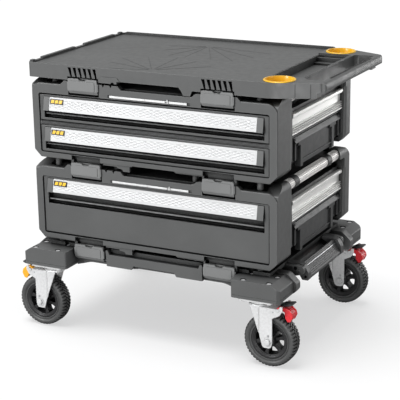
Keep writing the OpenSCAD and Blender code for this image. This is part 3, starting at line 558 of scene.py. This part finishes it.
def fork_piece(corner, side, end):
    """Two creased cheeks under a top plate with its swivel ring, the axle's nuts, and rivets."""
    body = Shape()
    outline = rounded(
        [(SWIVEL_X - 18, FORK_TOP), (AXLE_X - 22, 84), (AXLE_X - 15, 58), (AXLE_X + 9, 58),
         (AXLE_X + 13, 72), (AXLE_X + 13, 146), (AXLE_X + 34, 156), (AXLE_X + 43, 170),
         (AXLE_X + 43, 183), (AXLE_X + 36, 183), (AXLE_X + 33, 176), (AXLE_X + 26, FORK_TOP)],
        [2, 10, 10, 9, 4, 4, 12, 3, 1.5, 2, 2, 2])
    for sign in (-1, 1):
        creased_plate(body, outline, SWIVEL_Y + sign * CHEEK_FACE, SWIVEL_Y + sign * CHEEK_BACK)
    top = rounded([(SWIVEL_X - 18, -27), (SWIVEL_X + 60, -28), (SWIVEL_X + 60, 28), (SWIVEL_X - 18, 27)],
                  [12, 3, 3, 12])
    body.prism([(x, SWIVEL_Y + y) for x, y in top], "z", 170.4, FORK_TOP)
    ring = [(8.4, 170.4), (8.4, 178.0), (27.6, 178.0), (29.4, 176.8), (30.0, 175.0), (30.0, 170.6)]
    body.lathe(ring, (SWIVEL_X, SWIVEL_Y, 0), steps=64, axis="z")
    pin_x, pin_z = BRAKE_PIN
    for sign in (-1, 1):
        near = SWIVEL_Y + sign * CHEEK_FACE
        far = near + sign
        body.disc((AXLE_X - 2, 0, AXLE_Z - 2), "y", 11.5, near - sign * 0.5, far, steps=40)
        body.disc((AXLE_X, 0, AXLE_Z), "y", 8.4, far - sign * 0.4, far + sign * 4.4, steps=6)
        body.disc((AXLE_X, 0, AXLE_Z), "y", 4.6, far, far + sign * 5.0, steps=24)
        body.disc((pin_x, 0, pin_z), "y", 4.4, near - sign * 0.5, near + sign * 1.6, steps=24)
    body.to_corner(side, end)
    body.piece(f"{corner}_pressed_fork", "zinc", f"{corner}_caster", bevel=0.6,
               stands_for=[f"{corner}_fork"])
    dots = Shape()
    for sign in (-1, 1):
        near = SWIVEL_Y + sign * CHEEK_FACE
        dots.disc((AXLE_X + 2, 0, AXLE_Z + 17), "y", 2.6, near - sign * 0.6, near + sign * 0.8, steps=20)
        dots.disc((AXLE_X + 16, 0, 165.0), "y", 1.6, near - sign * 0.6, near + sign * 0.5, steps=16)
    dots.to_corner(side, end)
    dots.piece(f"{corner}_fork_rivets", "steel", f"{corner}_caster")


def brake_piece(corner, side, end):
    """Coloured foot pedal with a dark release tab above it."""
    colour = "brake_red" if side > 0 else "brake_orange"
    pedal = Shape()
    face = rounded(
        [(399, 174), (401, 166), (411, 161), (413.4, 149), (420, 138), (426, 139.5), (433, 152.5),
         (430, 162), (421, 169), (412, 175)],
        [3, 3, 6, 5, 3, 3, 3, 4, 6, 4])
    pedal.prism([(x, z) for x, z in face], "y", SWIVEL_Y - 14.5, SWIVEL_Y + 14.5)
    cheek = rounded([(410, 160), (411.5, 148), (419, 136.4), (427, 138), (434, 152.6), (431, 164),
                     (421, 173), (411, 176)], [5, 5, 4, 4, 4, 5, 6, 4])
    for start in (SWIVEL_Y - 17.0, SWIVEL_Y + 13.0):
        pedal.prism(cheek, "y", start, start + 4.0)
    for i in range(3):
        level = 143.5 + i * 6.0
        reach = 429.5 + i * 1.6
        step = [(415, level), (reach, level - 1.0), (reach + 1.0, level + 1.6), (415, level + 2.6)]
        pedal.prism(step, "y", SWIVEL_Y - 12.0, SWIVEL_Y + 12.0)
    pedal.disc((421, SWIVEL_Y - 5, 0), "z", 4.4, 166.0, 173.0, steps=24)
    pin_x, pin_z = BRAKE_PIN
    pedal.disc((pin_x, 0, pin_z), "y", 6.4, SWIVEL_Y - 26.0, SWIVEL_Y + 26.0, steps=32)
    pedal.to_corner(side, end)
    pedal.piece(f"{corner}_brake_foot_pedal", colour, f"{corner}_brake", bevel=1.1,
                stands_for=[f"{corner}_brake_pedal"], segments=3)
    tab = Shape()
    sections = ((395, 175, 181, 10), (401, 177.4, 183.6, 12), (411, 180.0, 185.6, 14),
                (421, 181.8, 187.4, 15.5), (428, 184.0, 188.4, 16), (432, 185.6, 188.0, 14))
    rings = []
    for x, low, high, half in sections:
        left, right = SWIVEL_Y - half, SWIVEL_Y + half
        rings.append([(x, left, low), (x, right, low), (x, right, high), (x, left, high)])
    tab.loft(rings)
    for across in (-8, 0, 8):
        tab.block((404, SWIVEL_Y + across - 1, 182.5), (426, SWIVEL_Y + across + 1, 187.2))
    tab.to_corner(side, end)
    tab.piece(f"{corner}_brake_release_tab", "dark_plastic", f"{corner}_brake", bevel=0.7)


def casters():
    for corner, (side, end) in CORNERS.items():
        tyre_piece(corner, side, end)
        rim_piece(corner, side, end)
        fork_piece(corner, side, end)
        brake_piece(corner, side, end)


# ---------------------------------------------------------------- drawers

# Height of each drawer front's upper edge, and the plane of the fronts
DRAWER_TOPS = {"drawer_1": 694.0, "drawer_2": 605.0, "drawer_3": 454.0}
DRAWER_FACE = -262.0
PULL_HALF = 320.0
LOZENGE_START = 7.0
LOZENGE_ROWS = 3
LOZENGE_WIDTH = 21.0
LOZENGE_HEIGHT = 8.0
LOZENGE_LIFT = 1.0
BADGE_BARS = 3
BADGE_BAR_PITCH = 12.9


def on_pull(top, x, down, lift):
    """A point of the pull's tilted front face: down from its upper edge, lifted off it."""
    fall = Vector((0.0, -6.0, -33.0)).normalized()
    out = Vector((0.0, -33.0, 6.0)).normalized()
    point = Vector((x, DRAWER_FACE - 1.0, top - 7.0)) + fall * down + out * lift
    return tuple(point)


def on_pull_slab(shape, top, outline, low, high):
    """A flat slab on the pull's face, from one lift to another."""
    shape.loft([[on_pull(top, x, down, lift) for x, down in outline] for lift in (low, high)])


def lozenges(shape, top):
    """Lattice of low four-sided pyramids that covers the pull."""
    columns = int(2 * PULL_HALF / LOZENGE_WIDTH)
    half_width, half_height = LOZENGE_WIDTH / 2, LOZENGE_HEIGHT / 2
    last = LOZENGE_START + LOZENGE_ROWS * LOZENGE_HEIGHT
    for row in range(2 * LOZENGE_ROWS + 1):
        odd = row % 2
        middle = LOZENGE_START + row * half_height
        upper = max(middle - half_height, LOZENGE_START)
        lower = min(middle + half_height, last)
        for column in range(columns + odd):
            x = -PULL_HALF + column * LOZENGE_WIDTH + (0.0 if odd else half_width)
            left, right = max(x - half_width, -PULL_HALF), min(x + half_width, PULL_HALF)
            ring = [(left, middle), (x, upper), (right, middle), (x, lower)]
            base = [on_pull(top, a, b, -0.3) for a, b in ring]
            skin = [on_pull(top, a, b, 0.05) for a, b in ring]
            peak = on_pull(top, x, middle, LOZENGE_LIFT)
            faces = [[3, 2, 1, 0]]
            for k in range(4):
                n = (k + 1) % 4
                faces += [[k, n, n + 4, k + 4], [k + 4, n + 4, 8]]
            shape.add(base + skin + [peak], faces)


def pull_details(drawer, top):
    """The pull's embossed pattern, and a plain badge of slanted bars at its left end."""
    pattern = Shape()
    lozenges(pattern, top)
    pattern.piece(f"{drawer}_pull_lozenges", "pull_aluminium", drawer, smooth=1)
    badge = Shape()
    plate = [(-319.0, 4.4), (-275.0, 4.4), (-275.0, 19.0), (-319.0, 19.0)]
    on_pull_slab(badge, top, plate, 0.2, 2.0)
    badge.piece(f"{drawer}_badge_plate", "badge_black", drawer, bevel=0.5)
    marks = Shape()
    for i in range(BADGE_BARS):
        x = -315.5 + i * BADGE_BAR_PITCH
        bar = [(x + 2.4, 7.0), (x + 12.2, 7.0), (x + 9.8, 16.4), (x, 16.4)]
        on_pull_slab(marks, top, bar, 1.8, 2.5)
    marks.piece(f"{drawer}_badge_bars", "badge_yellow", drawer, bevel=0.2)


# ---------------------------------------------------------------- carrying bars

BAR_X = 361.0
BAR_HEIGHTS = (480.5, 723.5)
BAR_START = -183.5
BAR_END = 198.5
BAR_TIP_RADIUS = 13.0
KNURL_LOW = 13.6
KNURL_HIGH = 15.0
KNURL_AROUND = 18
KNURL_PITCH = 8.0


def bar_stations():
    """Radius along the bar: a chamfer at each end and rows of bumps between them."""
    stations = [(BAR_START, BAR_TIP_RADIUS), (BAR_START + 1.0, KNURL_LOW)]
    y = BAR_START + 2.0
    while y + KNURL_PITCH < BAR_END - 2.0:
        stations += [(y, KNURL_LOW), (y + 0.8, KNURL_HIGH), (y + KNURL_PITCH - 2.4, KNURL_HIGH),
                     (y + KNURL_PITCH - 1.6, KNURL_LOW)]
        y += KNURL_PITCH
    return stations + [(BAR_END - 1.0, KNURL_LOW), (BAR_END, BAR_TIP_RADIUS)]


def knurled_bars():
    """Four carrying bars with coarse rows of square bumps between their ends."""
    shape = Shape()
    for height in BAR_HEIGHTS:
        for middle in (-BAR_X, BAR_X):
            rings = []
            for along, radius in bar_stations():
                ring = []
                for i in range(KNURL_AROUND):
                    for share, raised in ((0.0, False), (0.16, True), (0.72, True), (0.88, False)):
                        angle = 2 * math.pi * (i + share) / KNURL_AROUND
                        here = radius if raised else min(radius, KNURL_LOW)
                        ring.append((middle + here * math.cos(angle), along,
                                     height + here * math.sin(angle)))
                rings.append(ring)
            shape.loft(rings)
    shape.piece("knurled_carrying_bars", "bar_aluminium", "cabinet",
                stands_for=["side_handles"], smooth=20)


# ---------------------------------------------------------------- worktop

DECK = 779.0
RIBS = 56
RIB_PITCH = 6.0
RIB_WIDTH = 3.2

# Each star of flow lines: its middle, then the tips of its lines
FLOW_STARS = [
    ((-32, 164), ((-150, 128), (-125, 62), (-76, -8), (-20, -14), (62, -12), (135, -19), (167, 50),
                  (188, 122))),
    ((-16, -216), ((-138, -238), (-182, -160), (-180, -93), (-118, -52), (-33, -32), (42, -62),
                   (112, -112))),
]


def edge_ribs():
    """Ribbed edges on both sides of the trough."""
    ribs = Shape()
    for i in range(RIBS):
        y = -165.0 + i * RIB_PITCH
        inner = [(315.2, DECK), (321.4, DECK), (320.8, DECK + 1.6), (315.8, DECK + 1.6)]
        outer = [(412.8, 783.0), (420.2, 783.0), (419.4, 784.4), (413.6, 784.4)]
        for section in (inner, outer):
            ribs.prism(section, "y", y, y + RIB_WIDTH)
    ribs.piece("worktop_edge_ribs", "grey_plastic", "cabinet", bevel=0.3)


def flow_lines():
    """Tapering lines that fan out across the work surface, and three lines along the rear rim."""
    lines = Shape()
    for centre, tips in FLOW_STARS:
        for tip in tips:
            end = Vector(tip)
            run = end - Vector(centre)
            side = Vector((-run.y, run.x)).normalized()
            foot = Vector(centre) + run * 0.08
            ring = [foot + side * 0.9, foot - side * 0.9, end - side * 0.3, end + side * 0.3]
            lines.prism([tuple(p) for p in ring], "z", DECK - 0.2, DECK + 0.35)
    for i in range(3):
        y, right = 255.5 + i * 3.2, 326.0 - i
        lines.prism([(-366.0, y), (right, y), (right, y + 1.0), (-366.0, y + 1.0)], "z", 785.8, 786.6)
    lines.piece("worktop_flow_lines", "dark_plastic", "cabinet")


def corner_seam_shade():
    """Two upright dark strips on the seam lines of the slanted corner beside the front cup holder:
    painted shade in the seams.
    """
    seams = Shape()
    along, out = Vector((0.9237, 0.3833)), Vector((0.3833, -0.9237))
    for spot in ((420.0, -242.6), (457.0, -227.2)):
        ring = [Vector(spot) + along * a + out * b
                for a, b in ((-1.3, -0.6), (1.3, -0.6), (1.3, 0.25), (-1.3, 0.25))]
        seams.prism([tuple(p) for p in ring], "z", 745.0, 778.0)
    seams.piece("worktop_corner_seams", "rim_plastic", "cabinet")


def divider_shade_lines():
    """Three dark strips set in the grooves of the divider between the two upper drawers: painted shade.
    """
    shade_strips = Shape()
    for low in (607.2, 611.2, 615.2):
        shade_strips.block((-352.0, DRAWER_FACE - 0.3, low), (352.0, DRAWER_FACE + 1.2, low + 1.9))
    shade_strips.piece("divider_shade_lines", "rim_plastic", "cabinet")


# ---------------------------------------------------------------- CAD nodes that stay

FLAT_WITHIN = 1.0
WELD_WITHIN = 1e-5
PLAIN_BEVEL = 0.8
SLOT_OF = {row["node"]: row["material_slot"] for row in frame["record"]["subparts"]}

# Nodes whose finish differs from their slot's
OWN_MATERIAL = {"foot_pedal": "pedal_plastic", "caster_bolts": "bolt_zinc"}
# Drawer fronts take the grey plastic with deeper painted shade; end caps take plain grey plastic.
for drawer_name in DRAWER_TOPS:
    OWN_MATERIAL[f"{drawer_name}_front"] = "front_plastic_deep_shade"
    OWN_MATERIAL[f"{drawer_name}_end_caps"] = "grey_plastic"

# Edge bevels in millimetres, where they differ from the plain one
BEVELS = {
    "worktop": 2.0, "upper_front_bezel": 1.8, "lower_front_bezel": 1.8, "rear_covers": 2.0,
    "dolly_base": 2.0, "side_rails": 0.4, "worktop_grip": 0.4, "handle_collars": 1.0,
    "caster_bolts": 0.5, "hinge_pins": 0.3, "cup_holders": 0.6,
}


def dress_cad_nodes():
    """Gives each CAD node its material and softened edges; the meshes stay as they are."""
    for name, obj in NODES.items():
        obj.data.materials.clear()
        obj.data.materials.append(MATERIALS[OWN_MATERIAL.get(name, SLOT_OF[name])])
        if obj.hide_render:
            continue
        obj.modifiers.new("weld", "WELD").merge_threshold = WELD_WITHIN
        flat = obj.modifiers.new("flat", "DECIMATE")
        flat.decimate_type = "DISSOLVE"
        flat.angle_limit = math.radians(FLAT_WITHIN)
        soften(obj, BEVELS.get(name, PLAIN_BEVEL))


# ---------------------------------------------------------------- stage, light and camera

FLOOR_HALF = 14.0
FLOOR_BOUNCE = (0.34, 0.34, 0.34, 1)
FLOOR_SEEN = (0.44, 0.44, 0.44, 1)
FLOOR_GLOW = 0.58
WORLD_LIGHT = 0.44
WORLD_SEEN = 1.15
SUN_POWER = 2.0
SUN_SOFTNESS = 35
SUN_DIRECTION = (0.16, 0.12, -1.0)


def floor():
    """Pale floor, bright to the camera with only a soft bounce; returned in a spared collection."""
    a = FLOOR_HALF
    mesh = bpy.data.meshes.new("floor")
    mesh.from_pydata([(-a, -a, 0), (a, -a, 0), (a, a, 0), (-a, a, 0)], [], [(0, 1, 2, 3)])
    obj = bpy.data.objects.new("floor", mesh)
    bpy.context.scene.collection.objects.link(obj)
    s = Shader("floor_paint")
    speck = s.noise(3.0, 2.0)
    seen = s.node("ShaderNodeLightPath").outputs["Is Camera Ray"]
    paint = s.mix(seen, FLOOR_BOUNCE, FLOOR_SEEN)
    glow = s.mix(speck, (0.985, 0.99, 1.0, 1), (1.0, 1.0, 1.0, 1))
    s.set(Base_Color=paint, Roughness=0.9, Specular_IOR_Level=0.0)
    s.set(Emission_Color=glow, Emission_Strength=s.times(seen, FLOOR_GLOW))
    mesh.materials.append(s.material)
    spared = bpy.data.collections.new("spared_by_area_lights")
    spared.objects.link(obj)
    spared.collection_objects[0].light_linking.link_state = "EXCLUDE"
    return spared


def area_light(name, position, target, size, power, spared):
    """Rectangular light that leaves the spared objects to the sun and the surroundings."""
    data = bpy.data.lights.new(name, "AREA")
    data.shape = "RECTANGLE"
    data.size, data.size_y = size
    data.energy = power
    obj = bpy.data.objects.new(name, data)
    bpy.context.scene.collection.objects.link(obj)
    obj.light_linking.receiver_collection = spared
    obj.location = position
    aim = Vector(target) - Vector(position)
    obj.rotation_euler = aim.to_track_quat("-Z", "Y").to_euler()


def studio(spared):
    """White surroundings, a soft overhead sun, and area lights that shape the edges."""
    world = bpy.data.worlds.new("studio")
    bpy.context.scene.world = world
    world.use_nodes = True
    tree = world.node_tree
    back = tree.nodes["Background"]
    back.inputs["Color"].default_value = (1.0, 1.0, 1.0, 1.0)
    seen = tree.nodes.new("ShaderNodeLightPath").outputs["Is Camera Ray"]
    level = tree.nodes.new("ShaderNodeMapRange")
    level.inputs["To Min"].default_value = WORLD_LIGHT
    level.inputs["To Max"].default_value = WORLD_SEEN
    tree.links.new(seen, level.inputs["Value"])
    tree.links.new(level.outputs["Result"], back.inputs["Strength"])
    data = bpy.data.lights.new("sun", "SUN")
    data.energy = SUN_POWER
    data.angle = math.radians(SUN_SOFTNESS)
    sun = bpy.data.objects.new("sun", data)
    bpy.context.scene.collection.objects.link(sun)
    sun.rotation_euler = Vector(SUN_DIRECTION).to_track_quat("-Z", "Y").to_euler()
    middle = (0, 0, 0.4)
    area_light("key", (-1.8, -3.0, 1.9), middle, (1.2, 1.6), 92, spared)
    area_light("side", (3.2, -0.3, 1.2), middle, (0.4, 2.4), 8, spared)
    area_light("low", (1.3, -3.2, 0.3), (0.2, 0, 0.2), (1.4, 0.4), 36, spared)
    area_light("back", (1.6, 3.0, 0.9), middle, (0.6, 1.8), 20, spared)


CAMERA_AZIMUTH = 27.293
CAMERA_ELEVATION = 16.693
CAMERA_ROLL = -0.906
CAMERA_DISTANCE = 4.0123
CAMERA_LENS = 122.38
CAMERA_AIM = (0.0114, 0.0059, 0.35096)


def camera():
    """Looks at the aim point from the front right, slightly above."""
    a, e, r = (math.radians(v) for v in (CAMERA_AZIMUTH, CAMERA_ELEVATION, CAMERA_ROLL))
    back = Vector((math.sin(a) * math.cos(e), -math.cos(a) * math.cos(e), math.sin(e)))
    right = Vector((math.cos(a), math.sin(a), 0.0))
    up = back.cross(right)
    right_rolled = right * math.cos(r) + up * math.sin(r)
    up_rolled = up * math.cos(r) - right * math.sin(r)
    data = bpy.data.cameras.new("camera")
    data.lens = CAMERA_LENS
    data.sensor_width = 36.0
    data.clip_end = 50.0
    obj = bpy.data.objects.new("camera", data)
    bpy.context.scene.collection.objects.link(obj)
    position = Vector(CAMERA_AIM) + Vector((BOX_X, 0, 0)) + back * CAMERA_DISTANCE
    turn = Matrix((right_rolled, up_rolled, back)).transposed().to_4x4()
    obj.matrix_world = Matrix.Translation(position) @ turn
    bpy.context.scene.camera = obj


casters()
for drawer_name, drawer_top in DRAWER_TOPS.items():
    pull_details(drawer_name, drawer_top)
knurled_bars()
edge_ribs()
flow_lines()
corner_seam_shade()
divider_shade_lines()
dress_cad_nodes()
studio(floor())
camera()
bpy.context.scene.view_settings.view_transform = "Standard"
